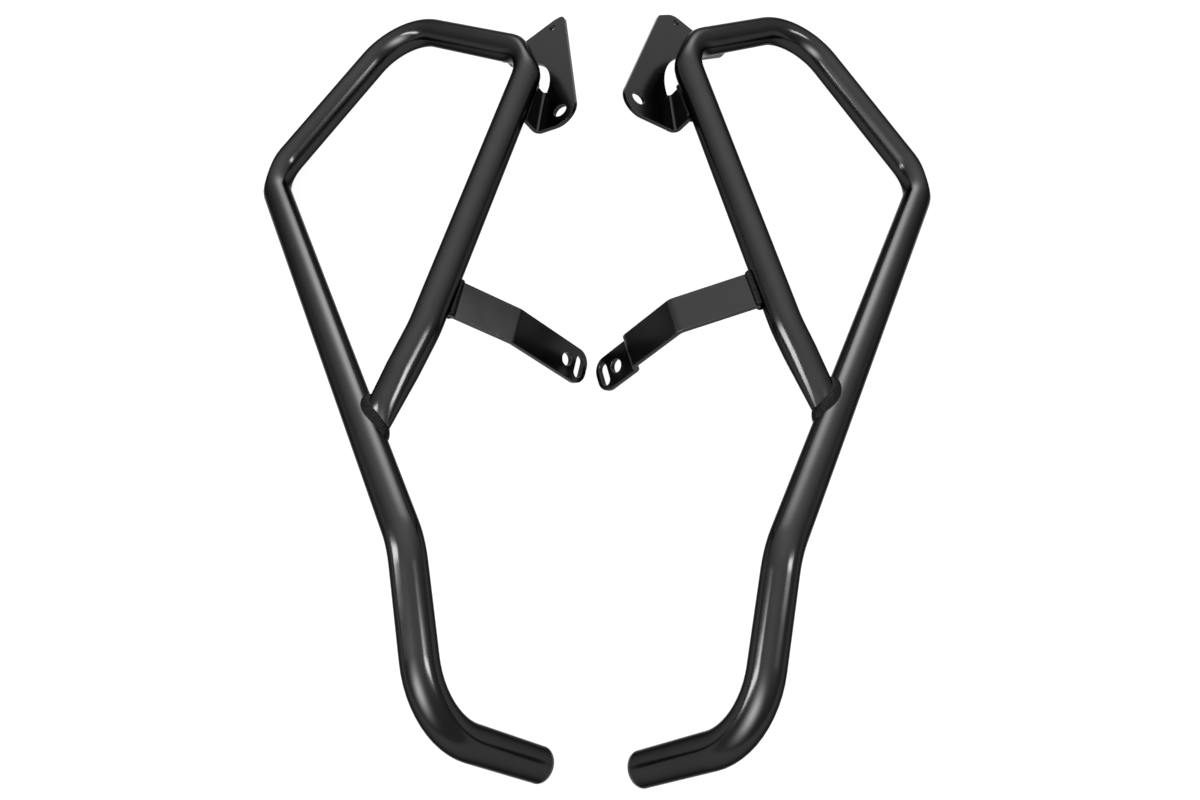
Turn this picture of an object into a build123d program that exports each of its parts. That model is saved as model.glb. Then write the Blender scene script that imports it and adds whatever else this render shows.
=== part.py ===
from build123d import *
import os
from collections import namedtuple
from math import cos, radians, sin, sqrt

# Round tube of both bars
TUBE_DIA = 26.9
TUBE_WALL = 2.3

# Flat loop of a bar: each run between its sharp corners, and the angle of the bend after it
SIDE_RUN = 482
UPPER_RUN = 216
LEFT_TOP_RUN = 201
RIGHT_TOP_RUN = 178
INNER_RUN = 307
OUTER_ANGLE = 63
TOP_ANGLE = 91
INNER_ANGLE = 68
KNEE_ANGLE = 7

# Leg below the loop: the corner where it bends again and the place where the tube stops
LEG_BEND = (-45, -108, -38.5)
LEG_END = (-24, -116, -155)

# Bend radii on the centre line
LEG_RADIUS = 60
LOWER_RADIUS = 55
OUTER_RADIUS = 48
TOP_RADIUS = 52
INNER_RADIUS = 50
KNEE_RADIUS = 120

# Foot of the return run: its height at the side run, and how far it takes to flatten to that height
FOOT_HEIGHT = 18.5
FOOT_TAPER = 60

# Largest share of a thickness or of half a width that a rounded edge takes
ROUND_SHARE = 0.9

# Plastic plug in the open tube end
PLUG_HEAD = 3
PLUG_STEM = 14
PLUG_EDGE_RADIUS = 1.5
PLUG_CLEARANCE = 0.2

# Welds: the gap between the two pieces at the root, how far the foot's weld stands off both tubes, and
# the radius of the other beads
WELD_GAP = 0.4
FOOT_WELD_SIZE = 3.5
STRAP_BEAD_RADIUS = 4
BRACKET_BEAD_RADIUS = 3.2

# Lower strap: flat bar that leaves the inner run square to the tube
STRAP_WIDTH = 32
STRAP_THICK = 5
STRAP_FOLD_RADIUS = 9
STRAP_CORNER_RADIUS = 13
STRAP_HOLE_DIA = 12
STRAP_HOLE_BACK = 26
STRAP_SLOT_LENGTH = 21
STRAP_SLOT_WIDTH = 9.5
STRAP_SLOT_BACK = 10
LEFT_STRAP_ALONG = 271.5
LEFT_STRAP_DROP_ANGLE = 58
LEFT_STRAP_REACH = 71.6
LEFT_STRAP_SLOPE_ANGLE = 75.5
LEFT_STRAP_LENGTH = 90
LEFT_STRAP_LEAN_ANGLE = 6.65
RIGHT_STRAP_ALONG = 268
RIGHT_STRAP_DROP_ANGLE = 38
RIGHT_STRAP_REACH = 82
RIGHT_STRAP_SLOPE_ANGLE = 75
RIGHT_STRAP_LENGTH = 107.3
RIGHT_STRAP_LEAN_ANGLE = 0

# Step in the right strap: where it starts past the bend, how deep and how long it is
STEP_AT = 58
STEP_DEPTH = 7.5
STEP_RUN = 3
STEP_FOLD_RADIUS = 4.5

# Upper bracket: one plate with a tab folded up to the inner run and a tab folded up to the top run
PLATE_THICK = 4
PLATE_FOLD_RADIUS = 3
PLATE_TILT_ANGLE = 10
FOLD_TOE_ANGLE = 6
FOLD_DROP = 31
LEFT_FOLD_ALONG = 69
LEFT_FOLD_ACROSS = 9
RIGHT_FOLD_ALONG = 77
RIGHT_FOLD_ACROSS = 12.5
TAB_HEIGHT = 24
LEFT_INNER_TAB_LENGTH = 45
RIGHT_INNER_TAB_LENGTH = 40
TOP_TAB_START = 38
LEFT_TOP_TAB_LENGTH = 16
RIGHT_TOP_TAB_LENGTH = 46
RELIEF_BULGE = 13

# Outline of the plate: its width at the free lower corner and how far that corner rises, its tip, the
# shoulder beside the tip, and how far it goes on past the end of the top tab
LEFT_PLATE_WIDTH = 44
LEFT_PLATE_RISE = 0
LEFT_PLATE_TIP = 7
LEFT_SHOULDER_SIDE = 10
LEFT_SHOULDER_RISE = -1.5
LEFT_PLATE_OVER = 24
RIGHT_PLATE_WIDTH = 64
RIGHT_PLATE_RISE = 6
RIGHT_PLATE_TIP = -3
RIGHT_SHOULDER_SIDE = 19
RIGHT_SHOULDER_RISE = 9.5
RIGHT_PLATE_OVER = 6
PLATE_HEIGHT = 140
PLATE_CORNER_RADIUS = 19
PLATE_TIP_RADIUS = 6
PLATE_SHOULDER_RADIUS = 16
PLATE_HOLE_DIA = 13.5
PLATE_HOLE_EDGE = 17
PLATE_HOLE_UP = 17
TOP_HOLE_DIA = 6.6
TOP_HOLE_SIDE = 2
TOP_HOLE_DOWN = 10

# Where the two bars lie: the loop's lower corner, and turns about the bar's x, y and z
LEFT_PLACE = (-132.7, 242.1, 130.17)
LEFT_ANGLES = (-5.05, -23.08, 25.72)
RIGHT_PLACE = (124.8, 235.8, 129.42)
RIGHT_ANGLES = (-3.84, 25.11, -26.35)

TUBE_RADIUS = TUBE_DIA / 2
BORE_RADIUS = TUBE_RADIUS - TUBE_WALL
UP = Vector(0, 0, 1)

# What differs between the two bars in the plate and in the strap
Plate = namedtuple("Plate", "along across width rise tip shoulder_side shoulder_rise inner_tab top_tab over")
Strap = namedtuple("Strap", "along lean points")


def heading(turn):
    """Direction in the flat loop, turned clockwise from the side run."""
    return Vector(sin(radians(turn)), cos(radians(turn)), 0)


INNER_HEADING = OUTER_ANGLE + TOP_ANGLE + INNER_ANGLE
SIDE_DIR = heading(0)
UPPER_DIR = heading(OUTER_ANGLE)
TOP_DIR = heading(OUTER_ANGLE + TOP_ANGLE)
INNER_DIR = heading(INNER_HEADING)
RETURN_DIR = heading(INNER_HEADING + KNEE_ANGLE)
ACROSS_DIR = UP.cross(INNER_DIR)


def along(points, radii, section):
    """A section swept along straight runs that are joined by tangent bends."""
    path = FilletPolyline(*points, radius=radii)
    return sweep(Plane(origin=path @ 0, z_dir=path % 0) * section, path=path)


def rod(start, end, radius):
    """A round bar from one point to another."""
    run = end - start
    return extrude(Plane(origin=start, z_dir=run) * Circle(radius), amount=run.length)


def folded_bar(frame, points, radii, width, thick):
    """A flat bar that is folded along a line of points in the frame, with its width across it."""
    path = frame * FilletPolyline(*points, radius=radii)
    start = Plane(origin=path @ 0, x_dir=frame.z_dir, z_dir=path % 0)
    return sweep(start * Rectangle(width, thick), path=path)


def slope(angle):
    """Direction in a strap's section that falls by an angle."""
    return Vector(cos(radians(angle)), -sin(radians(angle)))


def strap_line(drop, reach, fall, length, step):
    """Middle line of a strap from inside the tube to its tip, with a step where it has one."""
    bend = slope(drop) * reach
    run = slope(fall)
    inward = slope(fall + 90)
    points = [slope(drop) * BORE_RADIUS, bend]
    if step:
        points += [bend + run * STEP_AT, bend + run * (STEP_AT + STEP_RUN) + inward * step]
    return points + [bend + run * length + inward * step]


def tube_hit(start, direction, axis_start, axis_dir):
    """Where a line from a point meets the outside of a straight tube, or passes nearest to it."""
    flat = direction - axis_dir * direction.dot(axis_dir)
    away = start - axis_start
    away = away - axis_dir * away.dot(axis_dir)
    half = away.dot(flat)
    square = flat.dot(flat)
    reach = half * half - square * (away.dot(away) - TUBE_RADIUS**2)
    return start - direction * ((half + sqrt(max(reach, 0))) / square)


class Bar:
    """One bar in its own frame: the loop lies flat in z = 0 and its side run goes along y."""

    def __init__(self, top_run, plate, strap):
        self.lower = Vector(0, 0, 0)
        self.outer = self.lower + SIDE_DIR * SIDE_RUN
        self.top = self.outer + UPPER_DIR * UPPER_RUN
        self.inner = self.top + TOP_DIR * top_run
        self.knee = self.inner + INNER_DIR * INNER_RUN
        self.foot = self.knee - RETURN_DIR * (self.knee.X / RETURN_DIR.X)
        self.foot_start = self.foot - RETURN_DIR * FOOT_TAPER
        self.middle = (self.inner + self.knee) * 0.5
        self.plate = plate
        self.strap = strap
        lean = radians(strap.lean)
        lean_dir = INNER_DIR * cos(lean) - UP * sin(lean)
        self.strap_frame = Plane(self.inner + INNER_DIR * strap.along, x_dir=ACROSS_DIR, z_dir=lean_dir)
        fold = self.inner + INNER_DIR * plate.along + ACROSS_DIR * plate.across - UP * FOLD_DROP
        turn = 180 + FOLD_TOE_ANGLE - INNER_HEADING
        self.plate_frame = Plane(Location(fold, (0, -PLATE_TILT_ANGLE, turn)))

    def top_corner(self, radius):
        """The tube's outside at the inner top corner, with a radius of its own."""
        return along([self.top, self.inner, self.knee], INNER_RADIUS, Circle(radius))

    def tube(self):
        """The whole bent tube, with the return run shaped to sit on the side run."""
        ring = Circle(TUBE_RADIUS) - Circle(BORE_RADIUS)
        leg = [Vector(*LEG_END), Vector(*LEG_BEND)]
        loop = [self.lower, self.outer, self.top, self.inner, self.middle]
        radii = [LEG_RADIUS, LOWER_RADIUS, OUTER_RADIUS, TOP_RADIUS, INNER_RADIUS]
        last = along([self.middle, self.knee, self.foot_start], KNEE_RADIUS, ring)
        last += self.foot_flat(0) - self.foot_flat(TUBE_WALL)
        last -= rod(self.lower, self.outer, TUBE_RADIUS + WELD_GAP)
        return along(leg + loop, radii, ring) + last

    def foot_flat(self, inset):
        """End of the return run that flattens from a circle to an ellipse, set in by an amount."""
        sideways = UP.cross(RETURN_DIR)
        radius = TUBE_RADIUS - inset
        start = Plane(origin=self.foot_start, x_dir=sideways, z_dir=RETURN_DIR)
        end = Plane(origin=self.foot, x_dir=sideways, z_dir=RETURN_DIR)
        return loft([start * Circle(radius), end * Ellipse(radius, FOOT_HEIGHT / 2 - inset)])

    def end_plug(self):
        """Plug with a head as wide as the tube and a stem in the bore."""
        place = Plane(origin=LEG_END, z_dir=Vector(*LEG_END) - Vector(*LEG_BEND))
        head = extrude(Circle(TUBE_RADIUS), amount=PLUG_HEAD)
        head = fillet(head.edges().sort_by(Axis.Z)[-1], min(PLUG_EDGE_RADIUS, PLUG_HEAD * ROUND_SHARE))
        stem = extrude(Circle(BORE_RADIUS - PLUG_CLEARANCE), amount=-PLUG_STEM)
        return place * (head + stem)

    def foot_weld(self):
        """Fillet all round the joint of the return run on the side run."""
        bead = rod(self.lower, self.outer, TUBE_RADIUS + FOOT_WELD_SIZE) & self.foot_flat(-FOOT_WELD_SIZE)
        bead -= rod(self.lower, self.outer, TUBE_RADIUS)
        return bead - self.foot_flat(0)

    def lower_strap(self):
        """Flat bar with a rounded tip, a round hole and a slot across it."""
        frame = self.strap_frame
        line = self.strap.points
        radii = [STRAP_FOLD_RADIUS] + [STEP_FOLD_RADIUS] * (len(line) - 3)
        bar = folded_bar(frame, line, radii, STRAP_WIDTH, STRAP_THICK)
        tip = frame.from_local_coords(line[-1])
        back = (frame.from_local_coords(line[-2]) - tip).normalized()
        end = bar.faces().sort_by_distance(tip)[0]
        sides = end.edges().sort_by(SortBy.LENGTH)[:2]
        bar = fillet(sides, min(STRAP_CORNER_RADIUS, STRAP_WIDTH / 2 * ROUND_SHARE))
        face = back.cross(frame.z_dir)
        hole = Plane(origin=tip + back * STRAP_HOLE_BACK, x_dir=frame.z_dir, z_dir=face)
        slot = Plane(origin=tip + back * STRAP_SLOT_BACK, x_dir=frame.z_dir, z_dir=face)
        slot_shape = SlotOverall(STRAP_SLOT_LENGTH, STRAP_SLOT_WIDTH)
        bar -= extrude(hole * Circle(STRAP_HOLE_DIA / 2), amount=STRAP_THICK, both=True)
        bar -= extrude(slot * slot_shape, amount=STRAP_THICK, both=True)
        return bar - rod(self.inner, self.knee, TUBE_RADIUS + WELD_GAP)

    def strap_weld(self, strap):
        """A bead on each face of the strap where it meets the tube."""
        radial = self.strap.points[0].normalized()
        half = STRAP_THICK / 2
        seat = radial * sqrt(TUBE_RADIUS**2 - half**2)
        reach = UP * (STRAP_WIDTH / 2)
        beads = []
        for side in (half, -half):
            centre = seat + Vector(radial.Y, -radial.X) * side
            start = self.strap_frame.from_local_coords(centre - reach)
            end = self.strap_frame.from_local_coords(centre + reach)
            bead = rod(start, end, STRAP_BEAD_RADIUS) - rod(self.inner, self.knee, TUBE_RADIUS) - strap
            beads.append(bead.solids().sort_by(SortBy.VOLUME)[-1])
        return Compound(children=beads)

    def folds(self):
        """Start and end of each fold on the plate's top face, and the run that its tab reaches."""
        near = self.plate_frame.to_local_coords(self.inner - TOP_DIR * TOP_TAB_START)
        far = self.plate_frame.to_local_coords(self.inner - TOP_DIR * (TOP_TAB_START + self.plate.top_tab))
        inner_fold = (Vector(0, 0), Vector(0, self.plate.inner_tab), INNER_DIR)
        top_fold = (Vector(near.X, near.Y), Vector(far.X, far.Y), TOP_DIR)
        return inner_fold, top_fold

    def tab(self, start, end):
        """Strip of the plate that turns up along a fold, with the plate on the right of the fold."""
        run = end - start
        frame = self.plate_frame
        middle = frame.from_local_coords((start + end) * 0.5)
        inward = frame.from_local_coords(Vector(run.Y, -run.X)) - frame.origin
        place = Plane(origin=middle, x_dir=inward, z_dir=inward.cross(frame.z_dir))
        half = PLATE_THICK / 2
        points = [(PLATE_FOLD_RADIUS + PLATE_THICK, -half), (-half, -half), (-half, TAB_HEIGHT)]
        return folded_bar(place, points, PLATE_FOLD_RADIUS + half, run.length, PLATE_THICK)

    def plate_tip(self):
        """Tip of the plate and the shoulder beside it, where its top edge starts to fall."""
        tip = Vector(self.plate.tip, PLATE_HEIGHT)
        return tip, tip + Vector(-self.plate.shoulder_side, self.plate.shoulder_rise)

    def plate_holes(self):
        """Place and diameter of the two bolt holes in the plate."""
        slant = (self.plate.width - self.plate.tip) / (PLATE_HEIGHT - self.plate.rise)
        low = Pos(self.plate.width - slant * PLATE_HOLE_UP - PLATE_HOLE_EDGE, self.plate.rise + PLATE_HOLE_UP)
        high = Pos(self.plate_tip()[1] - Vector(TOP_HOLE_SIDE, TOP_HOLE_DOWN))
        return (low, PLATE_HOLE_DIA), (high, TOP_HOLE_DIA)

    def upper_bracket(self):
        """Folded plate with two tabs, a round relief between them and two bolt holes."""
        (fold_low, fold_high, _), (top_near, top_far, _) = self.folds()
        away = (top_far - top_near).normalized()
        low = fold_low + Vector(PLATE_FOLD_RADIUS, 0)
        high = fold_high + Vector(PLATE_FOLD_RADIUS, 0)
        near = top_near + Vector(away.Y, -away.X) * PLATE_FOLD_RADIUS
        back = near + away * ((top_far - top_near).length + self.plate.over)
        corner = Vector(self.plate.width, self.plate.rise)
        tip, shoulder = self.plate_tip()
        chord = (high - near).normalized()
        bulge = (near + high) * 0.5 + Vector(-chord.Y, chord.X) * RELIEF_BULGE
        edge = Polyline(high, low, corner, tip, shoulder, back, near) + ThreePointArc(near, bulge, high)
        face = make_face(edge)
        rounds = ((corner, PLATE_CORNER_RADIUS), (tip, PLATE_TIP_RADIUS), (shoulder, PLATE_SHOULDER_RADIUS))
        for point, radius in rounds:
            face = fillet(face.vertices().sort_by_distance(point)[0], radius)
        plate = extrude(self.plate_frame * face, amount=-PLATE_THICK)
        plate += self.tab(fold_low, fold_high)
        plate += self.tab(top_near, top_far)
        for place, dia in self.plate_holes():
            plate -= extrude(self.plate_frame * place * Circle(dia / 2), amount=PLATE_THICK * 2, both=True)
        return plate - self.top_corner(TUBE_RADIUS + WELD_GAP)

    def bracket_weld(self, bracket):
        """A bead on each face of both tabs where they meet the tube."""
        skin = self.top_corner(TUBE_RADIUS)
        frame = self.plate_frame
        beads = []
        for start, end, axis_dir in self.folds():
            run = (end - start).normalized()
            for depth in (0, PLATE_THICK):
                side = Vector(-run.Y, run.X) * depth
                first = tube_hit(frame.from_local_coords(start + side), frame.z_dir, self.inner, axis_dir)
                last = tube_hit(frame.from_local_coords(end + side), frame.z_dir, self.inner, axis_dir)
                bead = rod(first, last, BRACKET_BEAD_RADIUS) - skin - bracket
                beads.append(bead.solids().sort_by(SortBy.VOLUME)[-1])
        return Compound(children=beads)

    def pieces(self):
        """All pieces of the bar by name."""
        strap = self.lower_strap()
        bracket = self.upper_bracket()
        return {
            "tube": self.tube(),
            "upper_bracket": bracket,
            "lower_strap": strap,
            "foot_weld": self.foot_weld(),
            "strap_weld": self.strap_weld(strap),
            "bracket_weld": self.bracket_weld(bracket),
            "end_plug": self.end_plug(),
        }


def left_bar():
    """The bar on the left, with a plain strap."""
    plate = Plate(
        LEFT_FOLD_ALONG, LEFT_FOLD_ACROSS, LEFT_PLATE_WIDTH, LEFT_PLATE_RISE, LEFT_PLATE_TIP,
        LEFT_SHOULDER_SIDE, LEFT_SHOULDER_RISE, LEFT_INNER_TAB_LENGTH, LEFT_TOP_TAB_LENGTH, LEFT_PLATE_OVER
    )
    line = strap_line(
        LEFT_STRAP_DROP_ANGLE, LEFT_STRAP_REACH, LEFT_STRAP_SLOPE_ANGLE, LEFT_STRAP_LENGTH, 0
    )
    return Bar(LEFT_TOP_RUN, plate, Strap(LEFT_STRAP_ALONG, LEFT_STRAP_LEAN_ANGLE, line))


def right_bar():
    """The bar on the right before it is mirrored, with a stepped strap."""
    plate = Plate(
        RIGHT_FOLD_ALONG, RIGHT_FOLD_ACROSS, RIGHT_PLATE_WIDTH, RIGHT_PLATE_RISE, RIGHT_PLATE_TIP,
        RIGHT_SHOULDER_SIDE, RIGHT_SHOULDER_RISE, RIGHT_INNER_TAB_LENGTH, RIGHT_TOP_TAB_LENGTH,
        RIGHT_PLATE_OVER
    )
    line = strap_line(
        RIGHT_STRAP_DROP_ANGLE, RIGHT_STRAP_REACH, RIGHT_STRAP_SLOPE_ANGLE, RIGHT_STRAP_LENGTH, STEP_DEPTH
    )
    return Bar(RIGHT_TOP_RUN, plate, Strap(RIGHT_STRAP_ALONG, RIGHT_STRAP_LEAN_ANGLE, line))


def pair():
    """Both bars as they lie, with the ground at z = 0 and the origin under the middle."""
    pieces = {}
    for name, piece in left_bar().pieces().items():
        pieces["left_" + name] = Location(LEFT_PLACE, LEFT_ANGLES) * piece
    for name, piece in right_bar().pieces().items():
        pieces["right_" + name] = Location(RIGHT_PLACE, RIGHT_ANGLES) * mirror(piece, about=Plane.YZ)
    boxes = [piece.bounding_box() for piece in pieces.values()]
    middle_x = (min(box.min.X for box in boxes) + max(box.max.X for box in boxes)) / 2
    middle_y = (min(box.min.Y for box in boxes) + max(box.max.Y for box in boxes)) / 2
    ground = min(box.min.Z for box in boxes)
    shift = Pos(-middle_x, -middle_y, -ground)
    return {name: shift * piece for name, piece in pieces.items()}


os.makedirs("parts", exist_ok=True)
for node, shape in pair().items():
    export_step(shape, f"parts/{node}.step")
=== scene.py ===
"""Motorcycle crash bars: black coat, drawn bends, pressed feet, rounded plates, welds, studio."""

import math
from collections import namedtuple

import bmesh
import bpy
from bpy.props import FloatProperty, FloatVectorProperty, IntProperty, PointerProperty
from bpy.types import Operator, Panel, PropertyGroup
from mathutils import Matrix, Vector


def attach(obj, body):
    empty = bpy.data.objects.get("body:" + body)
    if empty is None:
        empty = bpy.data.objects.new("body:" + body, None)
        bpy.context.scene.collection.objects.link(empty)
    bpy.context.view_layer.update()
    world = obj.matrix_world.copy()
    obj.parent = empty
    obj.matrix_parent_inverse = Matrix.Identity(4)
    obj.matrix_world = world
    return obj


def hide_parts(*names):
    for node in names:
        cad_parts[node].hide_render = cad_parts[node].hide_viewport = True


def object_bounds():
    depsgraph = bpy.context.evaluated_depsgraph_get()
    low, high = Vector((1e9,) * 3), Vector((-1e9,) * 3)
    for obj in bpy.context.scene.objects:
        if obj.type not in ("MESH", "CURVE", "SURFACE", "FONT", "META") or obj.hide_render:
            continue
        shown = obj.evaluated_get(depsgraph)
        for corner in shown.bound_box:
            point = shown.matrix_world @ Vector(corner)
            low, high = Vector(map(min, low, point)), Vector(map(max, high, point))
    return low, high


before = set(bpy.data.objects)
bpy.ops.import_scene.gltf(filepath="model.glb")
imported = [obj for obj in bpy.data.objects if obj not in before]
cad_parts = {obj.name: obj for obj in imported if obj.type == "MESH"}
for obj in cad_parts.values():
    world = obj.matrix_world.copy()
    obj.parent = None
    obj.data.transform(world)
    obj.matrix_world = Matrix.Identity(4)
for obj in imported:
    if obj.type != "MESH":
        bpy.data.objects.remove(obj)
CAD_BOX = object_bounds()

bl_info = {
    "name": "Motorcycle crash bars",
    "version": (1, 0, 0),
    "blender": (4, 5, 0),
    "location": "3D View > Sidebar > Crash bars",
    "description": "Finishes a pair of crash bars and sets up a white studio for them",
    "category": "Object",
}

BODY = "root"
SIDES = ("left", "right")
MM = 0.001
WHITE = (1.0, 1.0, 1.0, 1.0)
SENSOR_WIDTH = 36.0

# Colour sockets of the Mix node, and the middle of a noise
MIX_FIRST, MIX_SECOND, MIX_RESULT = 6, 7, 2
NOISE_MEAN = 0.5

# Corners of a CAD mesh that lie closer than this are one
MERGE = 0.001 * MM

# Ways of the straight runs, from the leg to the foot of the return run
LEFT_SIDE = Vector((-0.39924, 0.88245, -0.24877))
LEFT_UPPER = Vector((0.55723, 0.8135, 0.16649))
LEFT_TOP = Vector((0.72216, -0.59001, 0.36107))
LEFT_INNER = Vector((-0.25789, -0.96585, -0.02497))
RIGHT_SIDE = Vector((0.40191, 0.88147, -0.24794))
RIGHT_UPPER = Vector((-0.54051, 0.81746, 0.19901))
RIGHT_TOP = Vector((-0.71693, -0.58696, 0.37614))
RIGHT_INNER = Vector((0.24427, -0.96843, -0.04973))
TUBE_RADIUS = 13.45 * MM

# Tight bends: sharp corner of the centre line, the ways before and after it, the radius on the
# centre line, and the share by which the outer wall is drawn in
Bend = namedtuple("Bend", "corner before after radius drawn")
BENDS = {
    "left": (
        Bend(Vector((-0.32186, 0.20001, 0.01031)), LEFT_SIDE, LEFT_UPPER, 0.048, 0.4),
        Bend(Vector((-0.05634, 0.25714, 0.11884)), LEFT_TOP, LEFT_INNER, 0.050, 0.42),
    ),
    "right": (
        Bend(Vector((0.32179, 0.19324, 0.00995)), RIGHT_SIDE, RIGHT_UPPER, 0.048, 0.4),
        Bend(Vector((0.07743, 0.26533, 0.11989)), RIGHT_TOP, RIGHT_INNER, 0.050, 0.3),
    ),
}

# Foot of each return run: where the two centre lines cross, the way of the side run, the way of the
# return run into it, the square to both, and how far its top would be pressed in at the crossing
Foot = namedtuple("Foot", "place side run up press")
FEET = {
    "left": Foot(
        Vector((-0.17172, -0.13185, 0.10386)), LEFT_SIDE, Vector((-0.36359, -0.92866, -0.07347)),
        Vector((-0.39202, 0.08098, 0.91639)), 14 * MM),
    "right": Foot(
        Vector((0.18248, -0.1123, 0.0959)), RIGHT_SIDE, Vector((0.34871, -0.93175, -0.10125)),
        Vector((0.42436, 0.06064, 0.90346)), 4 * MM),
}

# Height of the flat end at the crossing, the length that it tapers over, and the length pressed in
FOOT_HEIGHT = 18.5 * MM
FOOT_TAPER = 60 * MM
PRESS_LENGTH = 31 * MM

# How near a point has to be to a skin, to an edge and to the flat end's outline to be on it
SKIN_GAP = 0.05 * MM
EDGE_GAP = 0.1 * MM
OUTLINE_GAP = 0.03

# Steps round and along the flat end that give its slope, and halvings that find the weld's root
TURN_STEP = 0.01
BACK_STEP = 0.1 * MM
ROOT_HALVINGS = 30

# Narrow lights at the sides: place, size and radiance, all turned to the middle of the pair
Softbox = namedtuple("Softbox", "name place width height radiance")
SOFTBOXES = (
    Softbox("left_strip", (-1.93, -0.135, 1.035), 0.36, 1.2, 26.0),
    Softbox("right_strip", (5.72, -0.35, 5.63), 1.1, 3.1, 29.0),
)
LIGHT_AIM = (0, 0, 0.07)

# Soft glows of the surround: the way each lies in, how fast it falls off, and its strength
Glow = namedtuple("Glow", "way power strength")
GLOWS = (
    Glow((0, 0, 1), 2.5, 0.75),
    Glow((0, 0.866, 0.5), 2.0, 1.5),
    Glow((0.02, 0.986, 0.165), 24.0, 13.0),
    Glow((-0.366, -0.633, 0.682), 16.0, 13.0),
)


class CoatSettings(PropertyGroup):
    """Black powder coat on all the steel."""

    colour: FloatVectorProperty(
        name="Coat colour", description="Share of the light that the cured coat throws back",
        subtype="COLOR", size=3, min=0, max=1, default=(0.028, 0.028, 0.0285))
    pale_colour: FloatVectorProperty(
        name="Pale coat colour", description="Share that it throws back where it lies thin",
        subtype="COLOR", size=3, min=0, max=1, default=(0.034, 0.034, 0.0345))
    roughness: FloatProperty(
        name="Roughness", description="How dull the coat is",
        subtype="FACTOR", min=0, max=1, default=0.19)
    rim: FloatVectorProperty(
        name="Rim", description="Share of the usual sheen that is left at the rim of a tube",
        subtype="COLOR", size=3, min=0, max=1, default=(0.38, 0.38, 0.38))
    plate_rim: FloatVectorProperty(
        name="Plate rim", description="Share of the usual sheen that is left at the rim of a plate",
        subtype="COLOR", size=3, min=0, max=1, default=(0.7, 0.7, 0.7))
    grain: FloatProperty(
        name="Grain", description="Width of one dimple of the coat",
        unit="LENGTH", min=0.0001, default=0.0009)
    grain_depth: FloatProperty(
        name="Grain depth", description="Depth of one dimple of the coat",
        unit="LENGTH", min=0, default=0.000002)
    grain_gloss: FloatProperty(
        name="Grain gloss", description="How much the roughness differs from dimple to dimple",
        min=0, max=1, default=0.06)
    cloud_scale: FloatProperty(
        name="Cloud scale", description="Uneven patches of the coat in one metre",
        min=1, default=38.0)
    cloud_gloss: FloatProperty(
        name="Cloud gloss", description="How much the roughness differs from patch to patch",
        min=0, max=1, default=0.08)


class PlugSettings(PropertyGroup):
    """Moulded plug in each tube end."""

    colour: FloatVectorProperty(
        name="Plug colour", description="Colour of the plug's plastic",
        subtype="COLOR", size=3, min=0, max=1, default=(0.012, 0.012, 0.012))
    roughness: FloatProperty(
        name="Plug roughness", description="How dull the plug is",
        subtype="FACTOR", min=0, max=1, default=0.55)
    index: FloatProperty(
        name="Plug index", description="Refractive index of the plastic", min=1, default=1.46)
    grain_scale: FloatProperty(
        name="Plug grain scale", description="Dimples of the plug in one metre",
        min=1, default=2600.0)
    grain_depth: FloatProperty(
        name="Plug grain depth", description="Depth of one dimple of the plug",
        unit="LENGTH", min=0, default=0.00002)
    grain_gloss: FloatProperty(
        name="Plug grain gloss", description="How much the roughness differs from dimple to dimple",
        min=0, max=1, default=0.1)


class EdgeSettings(PropertyGroup):
    """Edges of plates and straps, rounded by the coat, and faces of the tubes."""

    radius: FloatProperty(
        name="Edge radius", description="Rounding of the cut edges",
        unit="LENGTH", min=0, default=0.001)
    steps: IntProperty(
        name="Edge steps", description="Faces across one rounded edge", min=1, max=8, default=3)
    sharp_angle: FloatProperty(
        name="Sharp angle", description="Edges that turn by more than this are rounded",
        subtype="ANGLE", min=0, default=math.radians(40))
    flat_angle: FloatProperty(
        name="Flat angle", description="Faces that turn by less than this are one face",
        subtype="ANGLE", min=0, default=math.radians(0.3))
    long_edge: FloatProperty(
        name="Long edge", description="Faces of a tube that are longer than this are cut",
        unit="LENGTH", min=0.001, default=0.02)
    cuts: IntProperty(
        name="Cuts", description="Cuts along each long face of a tube", min=1, max=60, default=30)


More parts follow.
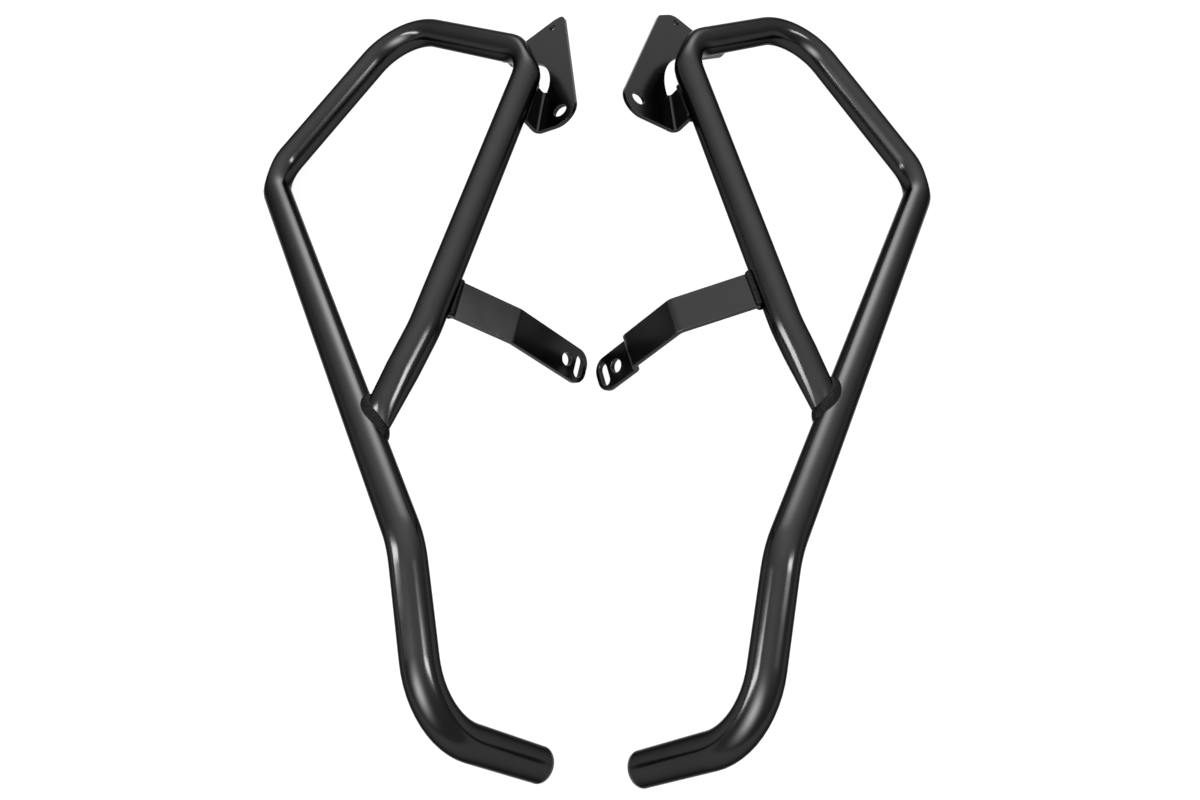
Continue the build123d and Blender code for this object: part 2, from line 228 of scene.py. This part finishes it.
class WeldSettings(PropertyGroup):
    """Beads at the joints."""

    step: FloatProperty(
        name="Bead step", description="Size of the faces of a bead",
        unit="LENGTH", min=0.0002, default=0.0005)
    rounds: IntProperty(
        name="Bead rounds", description="How often a bead is softened", min=0, max=60, default=10)
    pitch: FloatProperty(
        name="Ripple pitch", description="Length of one ripple along a bead",
        unit="LENGTH", min=0.0005, default=0.0022)
    height: FloatProperty(
        name="Ripple height", description="Height of one ripple",
        unit="LENGTH", min=0, default=0.00025)
    sink: FloatProperty(
        name="Bead growth", description="How far a bead is grown into its neighbours",
        unit="LENGTH", min=0, default=0.0003)
    leg: FloatProperty(
        name="Foot leg", description="How far the foot's weld reaches over each tube",
        unit="LENGTH", min=0.001, default=0.006)
    crown: FloatProperty(
        name="Foot crown", description="How far the foot's weld stands out in its middle",
        unit="LENGTH", min=0, default=0.0004)
    sections: IntProperty(
        name="Foot sections", description="Cuts round the foot's weld",
        min=24, max=600, default=200)
    facets: IntProperty(
        name="Foot facets", description="Faces across the foot's weld", min=3, max=40, default=10)
    colour: FloatVectorProperty(
        name="Weld colour", description="Share of the light that a weld's bumps throw back",
        subtype="COLOR", size=3, min=0, max=1, default=(0.018, 0.018, 0.0184))
    # Painted shade: the dark colour that the hollows between a weld's bumps take
    painted_shade_colour: FloatVectorProperty(
        name="Dark weld colour", description="Share that a weld throws back between its bumps",
        subtype="COLOR", size=3, min=0, max=1, default=(0.002, 0.002, 0.002))
    roughness: FloatProperty(
        name="Weld roughness", description="How dull the coat on a weld is",
        subtype="FACTOR", min=0, max=1, default=0.42)
    rim: FloatVectorProperty(
        name="Weld rim", description="Share of the usual sheen that is left at the rim of a weld",
        subtype="COLOR", size=3, min=0, max=1, default=(0.5, 0.5, 0.5))
    grain: FloatProperty(
        name="Weld grain", description="Width of one bump on a weld",
        unit="LENGTH", min=0.0001, default=0.002)
    grain_depth: FloatProperty(
        name="Weld grain depth", description="Height of one bump on a weld",
        unit="LENGTH", min=0, default=0.0004)
    grain_gloss: FloatProperty(
        name="Weld grain gloss", description="How much the roughness differs from bump to bump",
        min=0, max=1, default=0.2)


class StageSettings(PropertyGroup):
    """Camera, floor and even light."""

    camera_height: FloatProperty(
        name="Camera height", description="Height of the lens over the floor",
        unit="LENGTH", default=0.777585)
    camera_back: FloatProperty(
        name="Camera distance", description="How far the lens is in front of the middle",
        unit="LENGTH", default=0.467429)
    camera_side: FloatProperty(
        name="Camera side", description="How far the lens is to the right",
        unit="LENGTH", default=0.003275)
    camera_fall: FloatProperty(
        name="Camera fall", description="Angle at which the camera looks down",
        subtype="ANGLE", default=math.radians(61.39))
    lens: FloatProperty(
        name="Lens", description="Focal length in millimetres", min=1, default=30.0)
    floor_size: FloatProperty(
        name="Floor size", description="Side of the floor", unit="LENGTH", min=1, default=60.0)
    floor_colour: FloatVectorProperty(
        name="Floor colour", description="Colour of the floor",
        subtype="COLOR", size=3, min=0, max=1, default=(0.9, 0.9, 0.9))
    floor_lift: FloatProperty(
        name="Floor lift", description="Share of plain white in the floor that the camera sees",
        subtype="FACTOR", min=0, max=1, default=0.93)
    sky: FloatProperty(
        name="Surround", description="Strength of the even light all round", min=0, default=0.42)


class Signal:
    """One output of a node. Arithmetic with it adds Math nodes to the same tree."""

    def __init__(self, tree, socket=None):
        self.tree = tree
        self.socket = socket

    def node(self, kind, settings=None, sockets=None, output=0):
        """Adds a node, sets it up, then gives its sockets their values or links."""
        made = self.tree.nodes.new(kind)
        for name, value in (settings or {}).items():
            setattr(made, name, value)
        for name, value in (sockets or {}).items():
            if isinstance(value, Signal):
                self.tree.links.new(value.socket, made.inputs[name])
            else:
                made.inputs[name].default_value = value
        return Signal(self.tree, made.outputs[output] if made.outputs else None)

    def math(self, operation, first, second):
        """Adds a Math node."""
        return self.node("ShaderNodeMath", {"operation": operation}, {0: first, 1: second})

    def __add__(self, other):
        return self.math("ADD", self, other)

    def __radd__(self, other):
        return self.math("ADD", other, self)

    def __sub__(self, other):
        return self.math("SUBTRACT", self, other)

    def __rsub__(self, other):
        return self.math("SUBTRACT", other, self)

    def __mul__(self, other):
        return self.math("MULTIPLY", self, other)

    def __rmul__(self, other):
        return self.math("MULTIPLY", other, self)

    def __pow__(self, other):
        return self.math("POWER", self, other)

    def __rpow__(self, other):
        return self.math("POWER", other, self)


def new_material(name):
    """An empty node material and a signal to start its nodes from."""
    material = bpy.data.materials.new(name)
    material.use_nodes = True
    material.node_tree.nodes.clear()
    return material, Signal(material.node_tree)


def rgba(colour):
    """A colour with full alpha."""
    return (*colour, 1.0)


def noise(start, scale, detail, contrast):
    """Noise over a piece's own coordinates."""
    place = start.node("ShaderNodeTexCoord", output="Object")
    return start.node(
        "ShaderNodeTexNoise", {"noise_dimensions": "3D"},
        {"Vector": place, "Scale": scale, "Detail": detail, "Roughness": contrast})


def mixed_colour(start, share, first, second):
    """Colour that goes from the first to the second with a signal."""
    return start.node(
        "ShaderNodeMix", {"data_type": "RGBA"},
        {"Factor": share, MIX_FIRST: rgba(first), MIX_SECOND: rgba(second)}, MIX_RESULT)


def bumped(start, height, depth):
    """Normal of a surface that a signal lifts by up to a depth."""
    return start.node(
        "ShaderNodeBump", {}, {"Strength": 1.0, "Distance": depth, "Height": height})


def coat_surface(start, colour, rough, normal, rim):
    """Surface of a black coat that keeps a share of the usual sheen at its rim."""
    return start.node(
        "ShaderNodeBsdfPrincipled", {},
        {"Base Color": colour, "Roughness": rough, "Normal": normal, "Metallic": 1.0,
         "Specular Tint": rgba(rim)})


def close_surface(start, shader):
    """Ends a material in its output node."""
    start.node("ShaderNodeOutputMaterial", {}, {"Surface": shader})


def coat_material(name, settings, rim):
    """Satin black powder coat: dimpled, a little uneven in colour and in gloss."""
    material, start = new_material(name)
    dimples = noise(start, scale=1 / settings.grain, detail=2.0, contrast=0.45)
    cloud = noise(start, scale=settings.cloud_scale, detail=3.0, contrast=0.6)
    colour = mixed_colour(start, cloud, settings.colour, settings.pale_colour)
    rough = (settings.roughness + (cloud - NOISE_MEAN) * settings.cloud_gloss
             + (dimples - NOISE_MEAN) * settings.grain_gloss)
    normal = bumped(start, dimples, settings.grain_depth)
    close_surface(start, coat_surface(start, colour, rough, normal, rim))
    return material


def weld_material(settings):
    """The coat on a weld: duller and darker than on the tube, over fine spatter, with painted shade
    in its hollows.
    """
    material, start = new_material("weld_coat")
    spatter = noise(start, scale=1 / settings.grain, detail=3.0, contrast=0.6)
    # Painted shade: the spatter's hollows take the dark colour, and its bumps take the weld's
    # colour
    colour = mixed_colour(start, spatter, settings.painted_shade_colour, settings.colour)
    rough = settings.roughness + (spatter - NOISE_MEAN) * settings.grain_gloss
    normal = bumped(start, spatter, settings.grain_depth)
    close_surface(start, coat_surface(start, colour, rough, normal, settings.rim))
    return material


def plug_material(settings):
    """Dull black plastic with a fine moulded grain."""
    material, start = new_material("plug_plastic")
    grain = noise(start, scale=settings.grain_scale, detail=2.0, contrast=0.5)
    rough = settings.roughness + (grain - NOISE_MEAN) * settings.grain_gloss
    normal = bumped(start, grain, settings.grain_depth)
    shader = start.node(
        "ShaderNodeBsdfPrincipled", {},
        {"Base Color": rgba(settings.colour), "Roughness": rough, "Normal": normal,
         "IOR": settings.index})
    close_surface(start, shader)
    return material


def dress(piece, material):
    """Gives a piece one material."""
    piece.data.materials.clear()
    piece.data.materials.append(material)


def new_piece(name, mesh, node, material):
    """A mesh that stands for a CAD node and moves with it."""
    piece = bpy.data.objects.new(name, mesh)
    bpy.context.scene.collection.objects.link(piece)
    dress(piece, material)
    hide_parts(node)
    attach(piece, BODY)
    return piece


def open_node(node):
    """A CAD node's mesh, open for work, with its doubled corners joined."""
    work = bmesh.new()
    work.from_mesh(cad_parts[node].data)
    bmesh.ops.remove_doubles(work, verts=work.verts, dist=MERGE)
    return work


def close_work(work, mesh):
    """Writes the work to a mesh, with smooth faces."""
    for face in work.faces:
        face.smooth = True
    work.to_mesh(mesh)
    work.free()
    return mesh


def draw_in(point, bend):
    """Where a point of the tube comes to when the bend's outer wall is drawn in."""
    half = bend.before.angle(bend.after) / 2
    outward = (bend.before - bend.after).normalized()
    centre = bend.corner - outward * (bend.radius / math.cos(half))
    axis = bend.before.cross(bend.after).normalized()
    arm = point - centre
    height = arm.dot(axis)
    flat = arm - axis * height
    turn = flat.angle(outward, math.pi)
    excess = flat.length - bend.radius
    if turn > half or not 0 < excess < 2 * TUBE_RADIUS or abs(height) > 2 * TUBE_RADIUS:
        return point
    share = bend.drawn * math.cos(turn / half * math.pi / 2) ** 2
    return point - flat.normalized() * (excess * share)


def foot_height(foot, back, top):
    """Half height of the flat end of the return run, at a distance back along it."""
    half = FOOT_HEIGHT / 2
    height = half + (TUBE_RADIUS - half) * back / FOOT_TAPER
    if top and back < PRESS_LENGTH:
        height -= foot.press * (1 - back / PRESS_LENGTH) ** 2
    return height


def foot_skin(foot, turn, back):
    """Point on the flat end of the return run, at a turn round it and a distance back along it."""
    rise = math.cos(turn)
    across = foot.up.cross(foot.run)
    middle = foot.place - foot.run * back
    height = foot_height(foot, back, rise > 0)
    return middle + across * (TUBE_RADIUS * math.sin(turn)) + foot.up * (height * rise)


def off_side_run(foot, point):
    """Arm from the side run's centre line to a point."""
    arm = point - foot.place
    return arm - foot.side * arm.dot(foot.side)


def in_side_run(foot, point):
    """Whether a point lies in the side run or on its skin."""
    return off_side_run(foot, point).length < TUBE_RADIUS + SKIN_GAP


def press_in(point, foot):
    """Where a point of the tube comes to when the top of its flat end is pressed in."""
    arm = point - foot.place
    back = -arm.dot(foot.run)
    rise = arm.dot(foot.up)
    aside = (arm + foot.run * back - foot.up * rise).length
    near = 0 < back < PRESS_LENGTH and 0 < rise < TUBE_RADIUS and aside < TUBE_RADIUS + EDGE_GAP
    if not near or in_side_run(foot, point):
        return point
    share = foot_height(foot, back, True) / foot_height(foot, back, False)
    return point - foot.up * (rise * (1 - share))


def on_flat_end(foot, point):
    """Turn and distance back of a point on the flat end of the return run, or None elsewhere."""
    arm = point - foot.place
    back = -arm.dot(foot.run)
    if not 0 < back < FOOT_TAPER - EDGE_GAP or in_side_run(foot, point):
        return None
    lift = arm.dot(foot.up)
    rise = lift / foot_height(foot, back, lift > 0)
    aside = arm.dot(foot.up.cross(foot.run)) / TUBE_RADIUS
    if abs(math.hypot(rise, aside) - 1) > OUTLINE_GAP:
        return None
    return math.atan2(aside, rise), back


def foot_normal(foot, turn, back):
    """Way that the flat end of the return run faces."""
    around = foot_skin(foot, turn + TURN_STEP, back) - foot_skin(foot, turn - TURN_STEP, back)
    along = foot_skin(foot, turn, back + BACK_STEP) - foot_skin(foot, turn, back - BACK_STEP)
    normal = around.cross(along).normalized()
    if normal.dot(foot_skin(foot, turn, back) - foot.place + foot.run * back) < 0:
        normal.negate()
    return normal


def smooth_foot(mesh, foot):
    """Gives the flat end of the return run its true normals."""
    normals = [corner.vector.copy() for corner in mesh.corner_normals]
    places = [on_flat_end(foot, vertex.co) for vertex in mesh.vertices]
    for loop in mesh.loops:
        place = places[loop.vertex_index]
        if place:
            normals[loop.index] = foot_normal(foot, *place)
    mesh.normals_split_custom_set(normals)


def split_runs(work, settings):
    """Joins the triangles of the straight runs and cuts their long faces, for an even sheen."""
    bmesh.ops.join_triangles(
        work, faces=work.faces, angle_face_threshold=settings.flat_angle,
        angle_shape_threshold=math.pi)
    long_edges = [edge for edge in work.edges if edge.calc_length() > settings.long_edge]
    bmesh.ops.subdivide_edges(work, edges=long_edges, cuts=settings.cuts, use_grid_fill=True)


def drawn_tube(side, settings):
    """A copy of a tube with its tight bends drawn in and its flat end pressed in."""
    work = open_node(side + "_tube")
    split_runs(work, settings)
    for vertex in work.verts:
        for bend in BENDS[side]:
            vertex.co = draw_in(vertex.co, bend)
        vertex.co = press_in(vertex.co, FEET[side])
    mesh = close_work(work, bpy.data.meshes.new(side + "_tube_drawn"))
    mesh.set_sharp_from_angle(angle=settings.sharp_angle)
    smooth_foot(mesh, FEET[side])
    return mesh


class CRASHBARS_OT_coat_tubes(Operator):
    """Draw in the tight bends of both tubes, press in their feet and coat them"""

    bl_idname = "crash_bars.coat_tubes"
    bl_label = "Coat the tubes"

    def execute(self, context):
        settings = context.scene.crash_bars_edge
        finish = context.scene.crash_bars_coat
        material = coat_material("tube_coat", finish, finish.rim)
        for side in SIDES:
            node = side + "_tube"
            new_piece(node + "_coated", drawn_tube(side, settings), node, material)
        return {"FINISHED"}


def rounded_mesh(node, settings):
    """A copy of a plate's mesh with its flat faces joined and its cut edges rounded."""
    work = open_node(node)
    bmesh.ops.dissolve_limit(
        work, angle_limit=settings.flat_angle, verts=work.verts, edges=work.edges, delimit=set())
    sharp = [edge for edge in work.edges
             if len(edge.link_faces) == 2 and edge.calc_face_angle() > settings.sharp_angle]
    bmesh.ops.bevel(
        work, geom=sharp, offset=settings.radius, offset_type="OFFSET", segments=settings.steps,
        profile=0.5, affect="EDGES", clamp_overlap=True)
    return close_work(work, bpy.data.meshes.new(node + "_rounded"))


class CRASHBARS_OT_round_plates(Operator):
    """Round and coat the brackets and straps"""

    bl_idname = "crash_bars.round_plates"
    bl_label = "Round the plates"

    def execute(self, context):
        settings = context.scene.crash_bars_edge
        finish = context.scene.crash_bars_coat
        material = coat_material("plate_coat", finish, finish.plate_rim)
        for side in SIDES:
            for part in ("upper_bracket", "lower_strap"):
                node = f"{side}_{part}"
                mesh = rounded_mesh(node, settings)
                piece = new_piece(node + "_coated", mesh, node, material)
                weigh = piece.modifiers.new("Flat faces", "WEIGHTED_NORMAL")
                weigh.keep_sharp = True
        return {"FINISHED"}


def even_mesh(node, settings):
    """A copy of a node's mesh in small even faces."""
    closed = close_work(open_node(node), bpy.data.meshes.new(node + "_closed"))
    rough = bpy.data.objects.new(node + "_closed", closed)
    bpy.context.scene.collection.objects.link(rough)
    even = rough.modifiers.new("Even faces", "REMESH")
    even.mode = "VOXEL"
    even.voxel_size = settings.step
    shaped = rough.evaluated_get(bpy.context.evaluated_depsgraph_get())
    mesh = bpy.data.meshes.new_from_object(shaped)
    bpy.data.objects.remove(rough)
    bpy.data.meshes.remove(closed)
    return mesh


def loose_parts(work):
    """The vertices of each bead in a mesh."""
    left = set(work.verts)
    while left:
        part, front = [], [left.pop()]
        while front:
            vertex = front.pop()
            part.append(vertex)
            for edge in vertex.link_edges:
                other = edge.other_vert(vertex)
                if other in left:
                    left.remove(other)
                    front.append(other)
        yield part


def ripple(place, settings):
    """Height of the ripples at a place along a bead."""
    return abs(math.sin(math.pi * place / settings.pitch)) * settings.height


def bead_mesh(node, settings):
    """Softened straight beads from a weld node, with ripples along each."""
    mesh = even_mesh(node, settings)
    work = bmesh.new()
    work.from_mesh(mesh)
    for _ in range(settings.rounds):
        bmesh.ops.smooth_vert(
            work, verts=work.verts, factor=0.5, use_axis_x=True, use_axis_y=True, use_axis_z=True)
    work.normal_update()
    for part in loose_parts(work):
        centre = sum((vertex.co for vertex in part), Vector()) / len(part)
        arms = [vertex.co - centre for vertex in part]
        run = max(arms, key=lambda arm: arm.length).normalized()
        rises = [settings.sink + ripple(arm.dot(run), settings) for arm in arms]
        moves = [vertex.normal * rise for vertex, rise in zip(part, rises)]
        for vertex, move in zip(part, moves):
            vertex.co = vertex.co + move
    return close_work(work, mesh)


def foot_root(foot, turn):
    """How far back the return run meets the side run at a turn round it."""
    low, high = 0.0, FOOT_TAPER
    for _ in range(ROOT_HALVINGS):
        middle = (low + high) / 2
        if off_side_run(foot, foot_skin(foot, turn, middle)).length < TUBE_RADIUS:
            low = middle
        else:
            high = middle
    return high


def foot_section(foot, turn, roots, settings, place):
    """Closed section of the foot's weld: over both tubes, crowned, rippled, back in the root."""
    before, back, after = roots
    root = foot_skin(foot, turn, back)
    out = off_side_run(foot, root).normalized()
    aside = out.cross(after - before).normalized()
    entry = foot.place - foot.run * (TUBE_RADIUS / foot.side.cross(foot.run).length)
    if aside.dot(root - entry) < 0:
        aside.negate()
    on_side = root + aside * settings.leg
    arm = off_side_run(foot, on_side)
    on_side = on_side - arm + arm.normalized() * (TUBE_RADIUS - settings.sink)
    on_return = foot_skin(foot, turn, back + settings.leg)
    lift = ((on_side + on_return) / 2 - root).normalized()
    points = []
    for step in range(settings.facets + 1):
        share = step / settings.facets
        hump = 4 * share * (1 - share)
        rise = hump * (settings.crown + ripple(place, settings)) - (1 - hump) * settings.sink
        points.append(on_side.lerp(on_return, share) + lift * rise)
    points.append(root - lift * settings.sink)
    return points


def foot_mesh(side, settings):
    """Fillet weld all round the foot of a return run."""
    foot = FEET[side]
    count = settings.sections
    turns = [2 * math.pi * number / count for number in range(count)]
    backs = [foot_root(foot, turn) for turn in turns]
    roots = [foot_skin(foot, turn, back) for turn, back in zip(turns, backs)]
    place = 0.0
    points = []
    for number, turn in enumerate(turns):
        following = roots[(number + 1) % count]
        near = (roots[number - 1], backs[number], following)
        points += foot_section(foot, turn, near, settings, place)
        place += (following - roots[number]).length
    size = settings.facets + 2
    faces = []
    for number in range(count):
        here, there = number * size, (number + 1) % count * size
        for corner in range(size):
            past = (corner + 1) % size
            faces.append((here + corner, here + past, there + past, there + corner))
    mesh = bpy.data.meshes.new(side + "_foot_fillet")
    mesh.from_pydata(points, [], faces)
    work = bmesh.new()
    work.from_mesh(mesh)
    bmesh.ops.recalc_face_normals(work, faces=work.faces)
    return close_work(work, mesh)


class CRASHBARS_OT_lay_welds(Operator):
    """Lay rippled beads at the joints and coat them"""

    bl_idname = "crash_bars.lay_welds"
    bl_label = "Lay the welds"

    def execute(self, context):
        settings = context.scene.crash_bars_weld
        material = weld_material(settings)
        for side in SIDES:
            node = side + "_foot_weld"
            new_piece(node + "_bead", foot_mesh(side, settings), node, material)
            for part in ("strap_weld", "bracket_weld"):
                node = f"{side}_{part}"
                new_piece(node + "_bead", bead_mesh(node, settings), node, material)
        return {"FINISHED"}


class CRASHBARS_OT_fit_plugs(Operator):
    """Finish the plugs in the tube ends"""

    bl_idname = "crash_bars.fit_plugs"
    bl_label = "Finish the plugs"

    def execute(self, context):
        material = plug_material(context.scene.crash_bars_plug)
        for side in SIDES:
            dress(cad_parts[side + "_end_plug"], material)
        return {"FINISHED"}


def floor_material(settings):
    """White floor: it keeps shadows, and the camera and reflections see it near plain white."""
    material, start = new_material("studio_floor")
    camera = start.node("ShaderNodeLightPath", output="Is Camera Ray")
    glossy = start.node("ShaderNodeLightPath", output="Is Glossy Ray")
    through = start.node("ShaderNodeLightPath", output="Is Transmission Ray")
    seen = camera + glossy + through
    matt = start.node("ShaderNodeBsdfDiffuse", {}, {"Color": rgba(settings.floor_colour)})
    plain = start.node("ShaderNodeEmission", {}, {"Color": WHITE, "Strength": 1.0})
    share = seen * settings.floor_lift
    mixed = start.node("ShaderNodeMixShader", {}, {0: share, 1: matt, 2: plain})
    close_surface(start, mixed)
    return material


def add_floor(settings):
    """The floor that the bars lie on."""
    half = settings.floor_size / 2
    level = CAD_BOX[0].z
    corners = [(-half, -half, level), (half, -half, level),
               (half, half, level), (-half, half, level)]
    mesh = bpy.data.meshes.new("floor")
    mesh.from_pydata(corners, [], [(0, 1, 2, 3)])
    floor = bpy.data.objects.new("floor", mesh)
    bpy.context.scene.collection.objects.link(floor)
    mesh.materials.append(floor_material(settings))


def add_softbox(panel):
    """A flat rectangular light that faces the middle of the pair."""
    lamp = bpy.data.lights.new(panel.name, "AREA")
    lamp.shape = "RECTANGLE"
    lamp.size = panel.width
    lamp.size_y = panel.height
    lamp.energy = panel.radiance * math.pi * panel.width * panel.height
    box = bpy.data.objects.new(panel.name, lamp)
    box.location = panel.place
    way = Vector(LIGHT_AIM) - Vector(panel.place)
    box.rotation_euler = way.to_track_quat("-Z", "Y").to_euler()
    bpy.context.scene.collection.objects.link(box)


def add_surround(settings):
    """Even light all round, with a few soft glows."""
    world = bpy.data.worlds.new("surround")
    world.use_nodes = True
    world.node_tree.nodes.clear()
    start = Signal(world.node_tree)
    way = start.node("ShaderNodeTexCoord", output="Generated")
    strength = settings.sky
    for glow in GLOWS:
        facing = start.node(
            "ShaderNodeVectorMath", {"operation": "DOT_PRODUCT"}, {0: way, 1: glow.way}, "Value")
        strength = strength + facing.math("MAXIMUM", facing, 0.0) ** glow.power * glow.strength
    light = start.node("ShaderNodeBackground", {}, {"Color": WHITE, "Strength": strength})
    start.node("ShaderNodeOutputWorld", {}, {"Surface": light})
    bpy.context.scene.world = world


def add_camera(settings):
    """The camera at the photo's place."""
    data = bpy.data.cameras.new("camera")
    data.sensor_width = SENSOR_WIDTH
    data.lens = settings.lens
    camera = bpy.data.objects.new("camera", data)
    camera.location = (settings.camera_side, -settings.camera_back, settings.camera_height)
    camera.rotation_euler = (math.radians(90) - settings.camera_fall, 0, 0)
    bpy.context.scene.collection.objects.link(camera)
    bpy.context.scene.camera = camera


class CRASHBARS_OT_build_stage(Operator):
    """Set up the floor, the lights and the camera"""

    bl_idname = "crash_bars.build_stage"
    bl_label = "Build the stage"

    def execute(self, context):
        settings = context.scene.crash_bars_stage
        context.scene.view_settings.view_transform = "Standard"
        add_floor(settings)
        add_surround(settings)
        for panel in SOFTBOXES:
            add_softbox(panel)
        add_camera(settings)
        return {"FINISHED"}


class CRASHBARS_PT_panel(Panel):
    """Settings and steps of the crash bars."""

    bl_label = "Crash bars"
    bl_idname = "CRASHBARS_PT_panel"
    bl_space_type = "VIEW_3D"
    bl_region_type = "UI"
    bl_category = "Crash bars"

    def draw(self, context):
        for name in SETTINGS:
            group = getattr(context.scene, name)
            box = self.layout.box()
            for prop in group.bl_rna.properties:
                if not prop.is_readonly and prop.identifier != "name":
                    box.prop(group, prop.identifier)
        for operator in OPERATORS:
            self.layout.operator(operator.bl_idname)


SETTINGS = {
    "crash_bars_coat": CoatSettings,
    "crash_bars_plug": PlugSettings,
    "crash_bars_edge": EdgeSettings,
    "crash_bars_weld": WeldSettings,
    "crash_bars_stage": StageSettings,
}
OPERATORS = (
    CRASHBARS_OT_coat_tubes,
    CRASHBARS_OT_round_plates,
    CRASHBARS_OT_lay_welds,
    CRASHBARS_OT_fit_plugs,
    CRASHBARS_OT_build_stage,
)


def register():
    """Makes the settings, the steps and the panel known."""
    for name, group in SETTINGS.items():
        bpy.utils.register_class(group)
        setattr(bpy.types.Scene, name, PointerProperty(type=group))
    for operator in OPERATORS:
        bpy.utils.register_class(operator)
    bpy.utils.register_class(CRASHBARS_PT_panel)


def unregister():
    """Takes back what register did."""
    bpy.utils.unregister_class(CRASHBARS_PT_panel)
    for operator in reversed(OPERATORS):
        bpy.utils.unregister_class(operator)
    for name, group in reversed(SETTINGS.items()):
        delattr(bpy.types.Scene, name)
        bpy.utils.unregister_class(group)


def main():
    """Runs every step."""
    register()
    bpy.ops.crash_bars.coat_tubes()
    bpy.ops.crash_bars.round_plates()
    bpy.ops.crash_bars.lay_welds()
    bpy.ops.crash_bars.fit_plugs()
    bpy.ops.crash_bars.build_stage()


if __name__ == "__main__":
    main()
